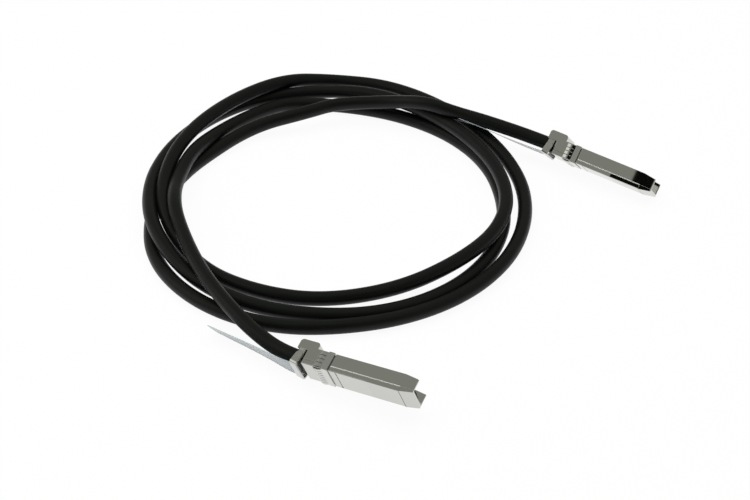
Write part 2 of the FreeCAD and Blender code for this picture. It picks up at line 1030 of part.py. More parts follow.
def coilPoints():
    """The turns, worked out quarter by quarter between the outermost points."""
    points = []
    # the corners stand outside the curve, which touches the runs between them
    spread = 1 / math.cos(math.pi / 4 / pointsPerQuarter)
    for quarter, fullness in enumerate(coilFullness):
        (x0, y0), (x1, y1) = coilReach[quarter : quarter + 2]
        for step in range(pointsPerQuarter):
            angle = math.pi / 2 * step / pointsPerQuarter
            rise = spread * math.sin(angle) ** (2 / fullness)
            fall = spread * math.cos(angle) ** (2 / fullness)
            if quarter % 2:
                x, y = x0 + (x1 - x0) * rise, y1 + (y0 - y1) * fall
            else:
                x, y = x1 + (x0 - x1) * fall, y0 + (y1 - y0) * rise
            height = coilHeight(quarter + step / pointsPerQuarter)
            points.append(lay + Vector(x, y, height))
    return points + [lay + Vector(*coilReach[-1], coilHeights[-1][1])]


def onAxis(tag, back):
    """A point on a plug's cable axis, a distance back from the plug's tip."""
    return plugs[tag].multVec(Vector(-back, 0, sizes["cableHeight"]))


def routeArcs(points):
    """For each inner point its arc's start, middle and end; prints the radii."""
    arcs = []
    radii = []
    for before, corner, after in zip(points, points[1:], points[2:]):
        come, go = corner - before, after - corner
        turn = come.getAngle(go)
        reach = 0.45 * min(come.Length, go.Length)
        radius = reach / math.tan(turn / 2)
        come.normalize()
        go.normalize()
        inward = (go - come).normalize()
        middle = corner + inward * (radius / math.cos(turn / 2) - radius)
        arcs.append((corner - come * reach, middle, corner + go * reach))
        radii.append(round(radius, 1))
    print("cable radii:", radii)
    return arcs


def tube(label, start, arcs, end):
    """A tube along straight runs and arcs from start to end."""
    edges = []
    here = start
    length = 0
    for first, middle, last in arcs:
        edges.append(Part.LineSegment(here, first).toShape())
        edges.append(Part.Arc(first, middle, last).toShape())
        here = last
    edges.append(Part.LineSegment(here, end).toShape())
    length = sum(edge.Length for edge in edges)
    path = Part.Wire(edges)
    radius = sizes["cableDiameter"] / 2
    ring = Part.Wire(Part.makeCircle(radius, start, edges[0].tangentAt(0)))
    solid = path.makePipeShell([ring], True, False)
    ratio = solid.Volume / (math.pi * radius**2 * length)
    print(f"{label}: {length:.1f} mm, volume ratio {ratio:.4f}")
    assert abs(ratio - 1) < 0.002, label
    thing = doc.addObject("Part::Feature", label)
    thing.Shape = solid
    finish(thing, label, Placement())
    return length


def buildCable():
    """One cable in three spans: the near tail, the coil and the far tail."""
    start, exitA = onAxis("a", sizes["cableStart"]), onAxis("a", sizes["cableStraight"])
    exitB, end = onAxis("b", sizes["cableStraight"]), onAxis("b", sizes["cableStart"])
    tailA = [lay + Vector(*point) for point in tailAPoints]
    tailB = [lay + Vector(*point) for point in tailBPoints]
    route = [start, exitA] + tailA + coilPoints() + tailB + [exitB, end]
    arcs = routeArcs(route)
    # the spans meet in the middle of a straight run
    firstCoil = 2 + len(tailA)
    lastCoil = len(route) - 3 - len(tailB)
    joinA = (arcs[firstCoil - 2][2] + arcs[firstCoil - 1][0]) * 0.5
    joinB = (arcs[lastCoil - 1][2] + arcs[lastCoil][0]) * 0.5
    total = tube("cable_tail_a", start, arcs[: firstCoil - 1], joinA)
    total += tube("cable_coil", joinA, arcs[firstCoil - 1 : lastCoil], joinB)
    total += tube("cable_tail_b", joinB, arcs[lastCoil:], end)
    print(f"cable length {total:.1f} mm")


for tag, placement in plugs.items():
    buildHousing(tag, placement)
    buildCover(tag, placement)
    buildCollar(tag, placement)
    buildCard(tag, placement)
    buildWires(tag, placement)
    buildFerrule(tag, placement)
    buildScrews(tag, placement)
    buildSlide(tag, placement)
    buildSprings(tag, placement)
    buildYoke(tag, placement)
    buildStrap(tag, placement)
buildCable()
doc.recompute()

for thing in doc.Objects:
    assert not {"Invalid", "Error"} & set(thing.State), thing.Label
for thing in finished:
    assert not thing.Shape.isNull() and thing.Shape.isValid(), thing.Label
    thing.Shape.exportStep(f"parts/{thing.Label}.step")
print("sub-parts:", len(finished))
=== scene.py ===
import math

import bmesh
import bpy
from mathutils import Euler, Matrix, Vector


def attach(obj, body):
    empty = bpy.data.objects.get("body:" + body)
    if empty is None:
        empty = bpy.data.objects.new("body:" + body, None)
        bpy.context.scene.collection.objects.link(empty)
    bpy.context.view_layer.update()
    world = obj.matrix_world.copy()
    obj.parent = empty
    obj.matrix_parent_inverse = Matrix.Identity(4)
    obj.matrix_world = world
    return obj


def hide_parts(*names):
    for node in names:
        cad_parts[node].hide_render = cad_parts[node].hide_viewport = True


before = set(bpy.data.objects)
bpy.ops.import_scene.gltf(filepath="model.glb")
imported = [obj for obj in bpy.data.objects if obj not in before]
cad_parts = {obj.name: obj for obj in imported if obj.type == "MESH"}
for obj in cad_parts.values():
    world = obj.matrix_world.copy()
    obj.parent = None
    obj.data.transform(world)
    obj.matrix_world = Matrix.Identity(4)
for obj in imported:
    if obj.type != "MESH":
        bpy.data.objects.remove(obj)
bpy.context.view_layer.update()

mm = 0.001

# The camera stands in front of the coil and looks down on it. Place, near and far are in metres,
# lens and sensor in mm. Place, lookingDown and lens came out of a fitting program.
view = {
    "place": (-0.03213, -0.60449, 0.49885),
    "lookingDown": 39.0,
    "lens": 79.2,
    "sensor": 36.0,
    "near": 0.01,
    "far": 20.0,
}


def addCamera():
    data = bpy.data.cameras.new("Camera")
    data.lens = view["lens"]
    data.sensor_width = view["sensor"]
    data.clip_start = view["near"]
    data.clip_end = view["far"]
    camera = bpy.data.objects.new("Camera", data)
    camera.location = view["place"]
    camera.rotation_euler = (math.radians(90 - view["lookingDown"]), 0, 0)
    bpy.context.scene.collection.objects.link(camera)
    bpy.context.scene.camera = camera


addCamera()
bpy.context.scene.view_settings.view_transform = "Standard"
print("camera placed")

# Where the middle of the lay is, then each plug's tip and its yaw, pitch and roll, in mm
# and degrees, as the CAD source has them. The plugs' numbers came out of a fitting program.
lay = Vector((19.87, -11.49, 0.0))
plugs = {
    "a": {"tip": (-31.5, -88.8, 16.775), "turn": (-29.9, -7.35, 109.9)},
    "b": {"tip": (88.85, 64.7, 10.398), "turn": (-33.3, 2.9, 134.25)},
}

# In mm, apart from the length in metres. Start, exit and straight lie on the axis of the cable in a
# plug, that far back from the plug's tip.
cable = {
    "diameter": 7.0,
    "axisHeight": 3.6,
    "start": 53.4,
    "exit": 61.2,
    "straight": 68.0,
    "length": 2.06,
    "stepsAround": 7,
    "stepsAlong": 10,
    "color": (0.0045, 0.0052, 0.0045),
    "roughness": 0.42,
    "roughnessSwing": 0.05,
    "shine": 0.2,
    "grain": 0.06,
    "grainDepth": 0.05,
    "grainScale": 2600.0,
    "smudgeScale": 60.0,
}

# The numbers in the five lists below came out of a fitting program. They were not chosen by hand.
# From the near plug to the coil.
tailAPoints = [
    (-105.7, -46.3, 9.2),
    (-120.7, -27.9, 12.3),
    (-134.6, -3.5, 12.8),
    (-146.0, 26.6, 14.3),
    (-149.6, 43.4, 15.8),
]
# From the coil to the far plug.
tailBPoints = [
    (-156.7, 62.4, 3.5),
    (-152.2, 73.0, 3.5),
    (-142.7, 90.5, 3.5),
    (-116.3, 119.4, 5.3),
    (-87.3, 125.3, 10.3),
    (-72.9, 132.7, 10.6),
    (-44.5, 131.7, 12.5),
    (-25.5, 120.3, 19.9),
    (-10.6, 116.7, 15.8),
    (5.2, 111.2, 14.2),
]
# The outermost points of the turns in order: left, back, right, front and left again.
coilReach = [
    (-148.9, 65.2),
    (-96.0, 142.9),
    (11.3, 51.4),
    (-68.7, -28.4),
    (-163.1, 59.8),
    (-90.2, 152.8),
    (12.3, 53.9),
    (-76.8, -17.4),
    (-156.5, 61.0),
    (-76.2, 164.1),
    (21.9, 56.2),
    (-80.1, -37.5),
    (-162.1, 42.2),
]
# How full each quarter turn is, where 2 is a quarter of an ellipse.
coilFullness = [1.58, 2.15, 2.03, 2.13, 1.91, 1.79, 2.06, 2.0, 1.69, 1.79, 2.09, 1.98]
# How high the cable lies, by quarter turns along the coil.
coilHeights = [
    (0.0, 11.4),
    (0.22, 11.9),
    (0.67, 3.55),
    (0.99, 3.55),
    (3.41, 3.6),
    (3.69, 13.1),
    (3.83, 9.8),
    (4.78, 3.55),
    (5.01, 3.55),
    (5.32, 10.5),
    (6.49, 10.7),
    (6.93, 3.6),
    (7.32, 4.4),
    (7.55, 3.55),
    (7.9, 12.4),
    (8.07, 9.9),
    (8.25, 14.8),
    (8.76, 9.9),
    (9.0, 3.55),
    (9.19, 5.6),
    (12.0, 3.55),
]
pointsPerQuarter = 4


# The height at one place along the coil, which is counted in quarter turns.
def coilHeight(place):
    for (start, low), (end, high) in zip(coilHeights, coilHeights[1:]):
        if place <= end:
            share = (1 - math.cos(math.pi * (place - start) / (end - start))) / 2
            return low + (high - low) * share
    return coilHeights[-1][1]


# Each quarter turn is a bow from one outermost point to the next.
def coilPoints():
    points = []
    spread = 1 / math.cos(math.pi / 4 / pointsPerQuarter)
    for quarter, fullness in enumerate(coilFullness):
        (x0, y0), (x1, y1) = coilReach[quarter : quarter + 2]
        for step in range(pointsPerQuarter):
            angle = math.pi / 2 * step / pointsPerQuarter
            rise = spread * math.sin(angle) ** (2 / fullness)
            fall = spread * math.cos(angle) ** (2 / fullness)
            if quarter % 2:
                x, y = x0 + (x1 - x0) * rise, y1 + (y0 - y1) * fall
            else:
                x, y = x1 + (x0 - x1) * fall, y0 + (y1 - y0) * rise
            height = coilHeight(quarter + step / pointsPerQuarter)
            points.append(lay + Vector((x, y, height)))
    return points + [lay + Vector((*coilReach[-1], coilHeights[-1][1]))]


# From a plug's own millimetres to the frame's millimetres.
def plugMatrix(tag):
    yaw, pitch, roll = (math.radians(angle) for angle in plugs[tag]["turn"])
    matrix = Euler((roll, pitch, yaw), "XYZ").to_matrix().to_4x4()
    matrix.translation = lay + Vector(plugs[tag]["tip"])
    return matrix


# A point on a plug's cable axis, a distance back from the plug's tip.
def onAxis(tag, back):
    return plugMatrix(tag) @ Vector((-back, 0, cable["axisHeight"]))


# The whole route, from inside the near plug to inside the far one.
def cableRoute():
    tailA = [lay + Vector(point) for point in tailAPoints]
    tailB = [lay + Vector(point) for point in tailBPoints]
    first = [onAxis("a", cable["start"]), onAxis("a", cable["straight"])]
    last = [onAxis("b", cable["straight"]), onAxis("b", cable["start"])]
    return first + tailA + coilPoints() + tailB + last


def addCable():
    data = bpy.data.curves.new("Cable", "CURVE")
    data.dimensions = "3D"
    data.bevel_depth = 1.0  # each point's radius gives the thickness
    data.bevel_resolution = cable["stepsAround"]
    data.resolution_u = cable["stepsAlong"]
    data.use_fill_caps = True
    spline = data.splines.new("NURBS")
    route = cableRoute()
    spline.points.add(len(route) - 1)
    for point, place in zip(spline.points, route):
        point.co = (*(place * mm), 1.0)
        point.radius = cable["diameter"] / 2 * mm
    spline.order_u = 3
    spline.use_endpoint_u = True
    spline.use_smooth = True
    piece = bpy.data.objects.new("Cable", data)
    bpy.context.scene.collection.objects.link(piece)
    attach(piece, "plugs_and_cable")
    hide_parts("cable_tail_a", "cable_coil", "cable_tail_b")
    tuple(onAxis("a", cable["exit"]) * mm)
    return piece


cablePiece = addCable()
print("cable laid")

# Lengths in metres.
room = {
    "floorHalf": 3.0,
    "floorColor": 0.93,
    "floorWhite": 0.94,
    "worldGrey": 0.31,
    "wallTint": (1.0, 1.03, 0.93),
    # A dark and a bright patch of the surroundings, in degrees. The azimuth turns from the back
    # towards the right.
    "cards": [
        {"azimuth": 180.0, "height": 48.0, "reach": 25.0, "softEdge": 6.0, "level": 0.004},
        {"azimuth": -84.0, "height": 34.0, "reach": 18.0, "softEdge": 10.0, "level": 0.95},
    ],
    "lightPower": 13.0,
    "lightSize": (1.5, 1.2),
    "lightPlace": (-0.15, 0.1, 1.1),
}


# An empty material with its output.
def newMaterial(name):
    material = bpy.data.materials.new(name)
    material.use_nodes = True
    nodes = material.node_tree.nodes
    nodes.clear()
    output = nodes.new("ShaderNodeOutputMaterial")
    return material, nodes, material.node_tree.links, output


# A node with its settings and the values of its inputs.
def addNode(nodes, kind, values=None, **settings):
    node = nodes.new(kind)
    for key, value in settings.items():
        setattr(node, key, value)
    for key, value in (values or {}).items():
        node.inputs[key].default_value = value
    return node


# A floor that shows white and takes a faint shadow.
def addFloor():
    mesh = bpy.data.meshes.new("Floor")
    half = room["floorHalf"]
    corners = [(-half, -half, 0), (half, -half, 0), (half, half, 0), (-half, half, 0)]
    mesh.from_pydata(corners, [], [(0, 1, 2, 3)])
    floor = bpy.data.objects.new("Floor", mesh)
    bpy.context.scene.collection.objects.link(floor)
    material, nodes, links, output = newMaterial("floorPaper")
    grey = room["floorColor"]
    paper = addNode(nodes, "ShaderNodeBsdfDiffuse", {"Color": (grey, grey, grey, 1)})
    white = addNode(nodes, "ShaderNodeEmission", {"Color": (1, 1, 1, 1), "Strength": 1.0})
    path = nodes.new("ShaderNodeLightPath")
    direct = addNode(nodes, "ShaderNodeMath", operation="MAXIMUM")
    anyView = addNode(nodes, "ShaderNodeMath", operation="MAXIMUM")
    share = addNode(nodes, "ShaderNodeMath", {1: room["floorWhite"]}, operation="MULTIPLY")
    pick = nodes.new("ShaderNodeMixShader")
    links.new(path.outputs["Is Camera Ray"], direct.inputs[0])
    links.new(path.outputs["Is Glossy Ray"], direct.inputs[1])
    links.new(direct.outputs[0], anyView.inputs[0])
    links.new(path.outputs["Is Transmission Ray"], anyView.inputs[1])
    links.new(anyView.outputs[0], share.inputs[0])
    links.new(share.outputs[0], pick.inputs["Fac"])
    links.new(paper.outputs["BSDF"], pick.inputs[1])
    links.new(white.outputs[0], pick.inputs[2])
    links.new(pick.outputs[0], output.inputs["Surface"])
    mesh.materials.append(material)


# White to the camera. A grey room with the cards lights the plugs and shows in their shine.
def addWorld():
    world = bpy.data.worlds.new("Studio")
    bpy.context.scene.world = world
    world.use_nodes = True
    nodes, links = world.node_tree.nodes, world.node_tree.links
    nodes.clear()
    output = nodes.new("ShaderNodeOutputWorld")
    path = nodes.new("ShaderNodeLightPath")
    toward = nodes.new("ShaderNodeTexCoord")
    tone = None
    for card in room["cards"]:
        azimuth, height = math.radians(card["azimuth"]), math.radians(card["height"])
        flat = math.cos(height)
        aim = (math.sin(azimuth) * flat, math.cos(azimuth) * flat, math.sin(height))
        dot = addNode(nodes, "ShaderNodeVectorMath", {1: aim}, operation="DOT_PRODUCT")
        edge = addNode(
            nodes,
            "ShaderNodeMapRange",
            {
                "From Min": math.cos(math.radians(card["reach"] + card["softEdge"])),
                "From Max": math.cos(math.radians(card["reach"])),
            },
            interpolation_type="SMOOTHSTEP",
        )
        levels = {"A": room["worldGrey"], "B": card["level"]}
        blend = addNode(nodes, "ShaderNodeMix", levels, data_type="FLOAT")
        links.new(toward.outputs["Generated"], dot.inputs[0])
        links.new(dot.outputs["Value"], edge.inputs["Value"])
        links.new(edge.outputs["Result"], blend.inputs["Factor"])
        if tone:
            links.new(tone.outputs["Result"], blend.inputs["A"])
        tone = blend
    tint = addNode(nodes, "ShaderNodeMix", {"Factor": 1.0}, data_type="RGBA", blend_type="MULTIPLY")
    tint.inputs["A"].default_value = (*room["wallTint"], 1)
    links.new(tone.outputs["Result"], tint.inputs["B"])
    walls = addNode(nodes, "ShaderNodeBackground", {"Strength": 1.0})
    links.new(tint.outputs["Result"], walls.inputs["Color"])
    seen = addNode(nodes, "ShaderNodeBackground", {"Color": (1, 1, 1, 1), "Strength": 1.0})
    pick = nodes.new("ShaderNodeMixShader")
    links.new(path.outputs["Is Camera Ray"], pick.inputs["Fac"])
    links.new(walls.outputs[0], pick.inputs[1])
    links.new(seen.outputs[0], pick.inputs[2])
    links.new(pick.outputs[0], output.inputs["Surface"])


def addLight():
    data = bpy.data.lights.new("Softbox", "AREA")
    data.shape = "RECTANGLE"
    data.size, data.size_y = room["lightSize"]
    data.energy = room["lightPower"]
    light = bpy.data.objects.new("Softbox", data)
    light.location = room["lightPlace"]
    light.visible_glossy = False
    light.visible_camera = False
    bpy.context.scene.collection.objects.link(light)


addFloor()
addWorld()
addLight()
print("room lit")


# Fine grain, soft smudges and hair scratches from one vector.
def addGrainGroup():
    group = bpy.data.node_groups.new("fineSurface", "ShaderNodeTree")
    group.interface.new_socket("Vector", in_out="INPUT", socket_type="NodeSocketVector")
    for name in ("Grain Scale", "Smudge Scale"):
        group.interface.new_socket(name, in_out="INPUT", socket_type="NodeSocketFloat")
    for name in ("Grain", "Smudge", "Scratch"):
        group.interface.new_socket(name, in_out="OUTPUT", socket_type="NodeSocketFloat")
    nodes, links = group.nodes, group.links
    inside = nodes.new("NodeGroupInput")
    outside = nodes.new("NodeGroupOutput")
    grain = addNode(nodes, "ShaderNodeTexNoise", {"Detail": 3.0, "Roughness": 0.6})
    smudge = addNode(nodes, "ShaderNodeTexNoise", {"Detail": 4.0, "Roughness": 0.55})
    stretch = addNode(nodes, "ShaderNodeMapping", {"Scale": (0.06, 1.0, 1.0)})
    hair = addNode(nodes, "ShaderNodeTexNoise", {"Detail": 2.0, "Roughness": 0.5})
    thin = addNode(
        nodes,
        "ShaderNodeMapRange",
        {"From Min": 0.62, "From Max": 0.72, "To Min": 0.0, "To Max": 1.0},
    )
    links.new(inside.outputs["Vector"], grain.inputs["Vector"])
    links.new(inside.outputs["Grain Scale"], grain.inputs["Scale"])
    links.new(inside.outputs["Vector"], smudge.inputs["Vector"])
    links.new(inside.outputs["Smudge Scale"], smudge.inputs["Scale"])
    links.new(inside.outputs["Vector"], stretch.inputs["Vector"])
    links.new(stretch.outputs["Vector"], hair.inputs["Vector"])
    links.new(inside.outputs["Grain Scale"], hair.inputs["Scale"])
    links.new(hair.outputs["Fac"], thin.inputs["Value"])
    links.new(grain.outputs["Fac"], outside.inputs["Grain"])
    links.new(smudge.outputs["Fac"], outside.inputs["Smudge"])
    links.new(thin.outputs["Result"], outside.inputs["Scratch"])
    return group


fineSurface = addGrainGroup()


# Slopes that the material draws on a plug and that its mesh doesn't have, and its lines of painted
# shade in the seams and of painted highlight along each side, in mm. Names that end in Back are
# distances behind the tip, in Up heights, in Out distances aside, in Half half widths and in Soft how
# gently a slope starts. The slope is the fall per length.
plugSlopesAndPaintedLines = {
    "noseBack": 10.5,
    "noseSoft": 4.0,
    "lipBack": 22.0,
    "lipSoft": 1.0,
    "slope": 0.15,
    "seamBack": 6.3,
    "stepBack": 37.5,
    "seamHalf": 0.14,
    "coverUp": 8.4,
    "sideOut": 6.4,
    # The height of the painted highlight line along each side. The lip lies above it.
    "highlightUp": 6.2,
    "highlightHalf": 0.2,
    "collarBack": 41.6,
    "collarHalf": 0.42,
    # Near black: painted shade in the seam gaps and at the collar's edge.
    "seamShadeColor": (0.03, 0.03, 0.028),
    # Pale: a painted highlight along each side.
    "paintedHighlightColor": (0.8, 0.8, 0.77),
}


# The slope of nose and lip as a height, with masks for the painted shade in the seams and the painted
# highlight line.
def addSlopesAndPaintedLinesGroup():
    group = bpy.data.node_groups.new("plugSlopesAndPaintedLines", "ShaderNodeTree")
    group.interface.new_socket("Vector", in_out="INPUT", socket_type="NodeSocketVector")
    for name in ("Height", "Seam", "Painted Highlight"):
        group.interface.new_socket(name, in_out="OUTPUT", socket_type="NodeSocketFloat")
    nodes, links = group.nodes, group.links
    inlet = nodes.new("NodeGroupInput")
    outlet = nodes.new("NodeGroupOutput")
    axes = nodes.new("ShaderNodeSeparateXYZ")
    links.new(inlet.outputs["Vector"], axes.inputs["Vector"])

    # One step of arithmetic, between numbers or sockets.
    def work(operation, first, second, third=None):
        node = nodes.new("ShaderNodeMath")
        node.operation = operation
        for slot, value in enumerate((first, second, third)):
            if value is None:
                continue
            if isinstance(value, (int, float)):
                node.inputs[slot].default_value = value
            else:
                links.new(value, node.inputs[slot])
        return node.outputs["Value"]

    form = {name: value * mm for name, value in plugSlopesAndPaintedLines.items() if isinstance(value, float)}  # metres
    ahead, side, up = axes.outputs["X"], axes.outputs["Y"], axes.outputs["Z"]
    nose = work("SMOOTH_MAX", work("ADD", ahead, form["noseBack"]), 0.0, form["noseSoft"])
    lip = work("SMOOTH_MAX", work("ADD", ahead, form["lipBack"]), 0.0, form["lipSoft"])
    lip = work("MULTIPLY", lip, work("GREATER_THAN", up, form["highlightUp"]))
    fall = work("MAXIMUM", nose, lip)
    links.new(work("MULTIPLY", fall, -plugSlopesAndPaintedLines["slope"]), outlet.inputs["Height"])
    # Painted shade across the cover at the nose seam and at the step.
    tip = work("COMPARE", ahead, -form["seamBack"], form["seamHalf"])
    step = work("COMPARE", ahead, -form["stepBack"], form["seamHalf"])
    onCover = work("GREATER_THAN", up, form["coverUp"])
    across = work("MULTIPLY", work("MAXIMUM", tip, step), onCover)
    # A painted highlight line along each side, between the nose seam and the collar.
    along = work("COMPARE", up, form["highlightUp"], form["highlightHalf"])
    along = work("MULTIPLY", along, work("LESS_THAN", ahead, -form["seamBack"]))
    along = work("MULTIPLY", along, work("GREATER_THAN", ahead, -form["collarBack"]))
    onSide = work("GREATER_THAN", work("ABSOLUTE", side, 0.0), form["sideOut"])
    links.new(work("MULTIPLY", along, onSide), outlet.inputs["Painted Highlight"])
    # Painted shade at the collar's edge on each side.
    collar = work("COMPARE", ahead, -form["collarBack"], form["collarHalf"])
    links.new(work("MAXIMUM", across, work("MULTIPLY", collar, onSide)), outlet.inputs["Seam"])
    return group


slopesAndPaintedLinesGroup = addSlopesAndPaintedLinesGroup()


# Coordinates in a plug's own frame, in metres from its tip, x towards the tip.
def plugSpace(nodes, links, tag):
    spot = nodes.new("ShaderNodeTexCoord")
    turn = addNode(nodes, "ShaderNodeMapping", vector_type="TEXTURE")
    matrix = plugMatrix(tag)
    turn.inputs["Location"].default_value = matrix.translation * mm
    turn.inputs["Rotation"].default_value = matrix.to_euler("XYZ")
    links.new(spot.outputs["Object"], turn.inputs["Vector"])
    return turn.outputs["Vector"]


# The fine surface at its own grain and smudge scales.
def surfaceOn(nodes, links, vector, grain, smudge):
    surface = addNode(nodes, "ShaderNodeGroup")
    surface.node_tree = fineSurface
    surface.inputs["Grain Scale"].default_value = grain
    surface.inputs["Smudge Scale"].default_value = smudge
    links.new(vector, surface.inputs["Vector"])
    return surface


# A value that swings around its middle with the smudges.
def smudged(nodes, links, surface, middle, swing):
    ends = {"From Min": 0.3, "From Max": 0.7, "To Min": middle - swing, "To Max": middle + swing}
    change = addNode(nodes, "ShaderNodeMapRange", ends)
    links.new(surface.outputs["Smudge"], change.inputs["Value"])
    return change.outputs["Result"]


# From one colour to a second by a share. The first may be the output of another node.
def blendColors(nodes, links, share, first, second):
    blend = addNode(nodes, "ShaderNodeMix", data_type="RGBA")
    if isinstance(first, tuple):
        blend.inputs["A"].default_value = (*first, 1)
    else:
        links.new(first, blend.inputs["A"])
    blend.inputs["B"].default_value = (*second, 1)
    links.new(share, blend.inputs["Factor"])
    return blend.outputs["Result"]


# The normal with the fine grain on it, so many mm deep.
def grainNormal(nodes, links, surface, strength, depth, below=None):
    bump = addNode(nodes, "ShaderNodeBump", {"Strength": strength, "Distance": depth * mm})
    links.new(surface.outputs["Grain"], bump.inputs["Height"])
    if below:
        links.new(below, bump.inputs["Normal"])
    return bump.outputs["Normal"]


edgeRound = 0.16  # mm, in the shading only
edgeSamples = 6
metalGrainDepth = 0.02  # mm
metals = {
    "die_cast": {
        "slopedAndPainted": True,
        "color": (0.58, 0.58, 0.55),
        "scratchColor": (0.62, 0.62, 0.6),
        "roughness": 0.09,
        "roughnessSwing": 0.02,
        "grainScale": 2400.0,
        "smudgeScale": 160.0,
        "bump": 0.06,
    },
    "spring_steel": {
        "slopedAndPainted": False,
        "color": (0.63, 0.63, 0.61),
        "scratchColor": (0.7, 0.7, 0.68),
        "roughness": 0.16,
        "roughnessSwing": 0.03,
        "grainScale": 3000.0,
        "smudgeScale": 260.0,
        "bump": 0.08,
    },
    "steel": {
        "slopedAndPainted": False,
        "color": (0.6, 0.6, 0.58),
        "scratchColor": (0.66, 0.66, 0.64),
        "roughness": 0.18,
        "roughnessSwing": 0.04,
        "grainScale": 2600.0,
        "smudgeScale": 220.0,
        "bump": 0.1,
    },
    "gold": {
        "slopedAndPainted": False,
        "color": (0.95, 0.68, 0.28),
        "scratchColor": (0.9, 0.6, 0.22),
        "roughness": 0.22,
        "roughnessSwing": 0.04,
        "grainScale": 4000.0,
        "smudgeScale": 500.0,
        "bump": 0.05,
    },
    "wire": {
        "slopedAndPainted": False,
        "color": (0.75, 0.76, 0.78),
        "scratchColor": (0.6, 0.6, 0.62),
        "roughness": 0.3,
        "roughnessSwing": 0.06,
        "grainScale": 3000.0,
        "smudgeScale": 900.0,
        "bump": 0.3,
    },
}


# The drawn slopes of a plug, with its painted seam shade and painted highlight line, laid over a metal's
# normal and colour.
def addSlopesAndPaintedLines(nodes, links, vector, normal, color, skin):
    form = addNode(nodes, "ShaderNodeGroup")
    form.node_tree = slopesAndPaintedLinesGroup
    slope = addNode(nodes, "ShaderNodeBump", {"Strength": 1.0, "Distance": 1.0})
    # The painted highlight strip is not metal.
    bare = addNode(nodes, "ShaderNodeMath", {0: 1.0}, operation="SUBTRACT")
    links.new(vector, form.inputs["Vector"])
    links.new(form.outputs["Height"], slope.inputs["Height"])
    links.new(normal, slope.inputs["Normal"])
    links.new(form.outputs["Painted Highlight"], bare.inputs[1])
    links.new(bare.outputs["Value"], skin.inputs["Metallic"])
    # The painted highlight along each side.
    color = blendColors(nodes, links, form.outputs["Painted Highlight"], color, plugSlopesAndPaintedLines["paintedHighlightColor"])
    # The painted shade in the seams and at the collar's edge.
    color = blendColors(nodes, links, form.outputs["Seam"], color, plugSlopesAndPaintedLines["seamShadeColor"])
    return slope.outputs["Normal"], color


# A plated or bare metal with soft edges, and soft smudges in its shine.
def metal(name, tag, look):
    material, nodes, links, output = newMaterial(f"{name}_{tag}")
    vector = plugSpace(nodes, links, tag)
    surface = surfaceOn(nodes, links, vector, look["grainScale"], look["smudgeScale"])
    color = blendColors(nodes, links, surface.outputs["Scratch"], look["color"], look["scratchColor"])
    softEdge = addNode(nodes, "ShaderNodeBevel", {"Radius": edgeRound * mm}, samples=edgeSamples)
    normal = softEdge.outputs["Normal"]
    skin = addNode(nodes, "ShaderNodeBsdfPrincipled", {"Metallic": 1.0})
    # The die-cast shells also get the drawn slopes, the painted seam shade and the painted highlight line.
    if look["slopedAndPainted"]:
        normal, color = addSlopesAndPaintedLines(nodes, links, vector, normal, color, skin)
    normal = grainNormal(nodes, links, surface, look["bump"], metalGrainDepth, normal)
    shine = smudged(nodes, links, surface, look["roughness"], look["roughnessSwing"])
    links.new(color, skin.inputs["Base Color"])
    links.new(shine, skin.inputs["Roughness"])
    links.new(normal, skin.inputs["Normal"])
    links.new(skin.outputs["BSDF"], output.inputs["Surface"])
    return material


# The faint lines lie about 6.3 times lineSize apart, in mm.
plastics = {
    "board": {
        "color": (0.012, 0.075, 0.03),
        "lineColor": (0.03, 0.15, 0.06),
        "lineSize": 1.1,
        "roughness": 0.32,
        "grainScale": 3500.0,
        "smudgeScale": 300.0,
        "bump": 0.15,
        "grainDepth": 0.03,
    },
    "chip": {
        "color": (0.014, 0.014, 0.016),
        "lineColor": (0.03, 0.03, 0.032),
        "lineSize": 4.0,
        "roughness": 0.55,
        "grainScale": 6000.0,
        "smudgeScale": 300.0,
        "bump": 0.15,
        "grainDepth": 0.03,
    },
}


# Moulded or coated plastic with fine grain and faint lines along the plug.
def plastic(name, tag, look):
    material, nodes, links, output = newMaterial(f"{name}_{tag}")
    vector = plugSpace(nodes, links, tag)
    surface = surfaceOn(nodes, links, vector, look["grainScale"], look["smudgeScale"])
    lines = addNode(
        nodes,
        "ShaderNodeTexWave",
        {"Scale": 0.05 / (look["lineSize"] * mm), "Distortion": 0.6, "Detail": 1.0},
        wave_type="BANDS",
        bands_direction="Y",
    )
    edge = addNode(nodes, "ShaderNodeMapRange", {"From Min": 0.75, "From Max": 0.9})
    skin = addNode(nodes, "ShaderNodeBsdfPrincipled", {"Roughness": look["roughness"]})
    links.new(vector, lines.inputs["Vector"])
    links.new(lines.outputs["Fac"], edge.inputs["Value"])
    color = blendColors(nodes, links, edge.outputs["Result"], look["color"], look["lineColor"])
    links.new(color, skin.inputs["Base Color"])
    normal = grainNormal(nodes, links, surface, look["bump"], look["grainDepth"])
    links.new(normal, skin.inputs["Normal"])
    links.new(skin.outputs["BSDF"], output.inputs["Surface"])
    return material


strapFilm = {
    "color": (0.6, 0.66, 0.7),
    "glancingColor": (0.42, 0.48, 0.52),
    "glance": 0.35,
    "clear": 0.3,
    "clearSwing": 0.05,
    "roughness": 0.3,
    "grainScale": 1500.0,
    "smudgeScale": 120.0,
}


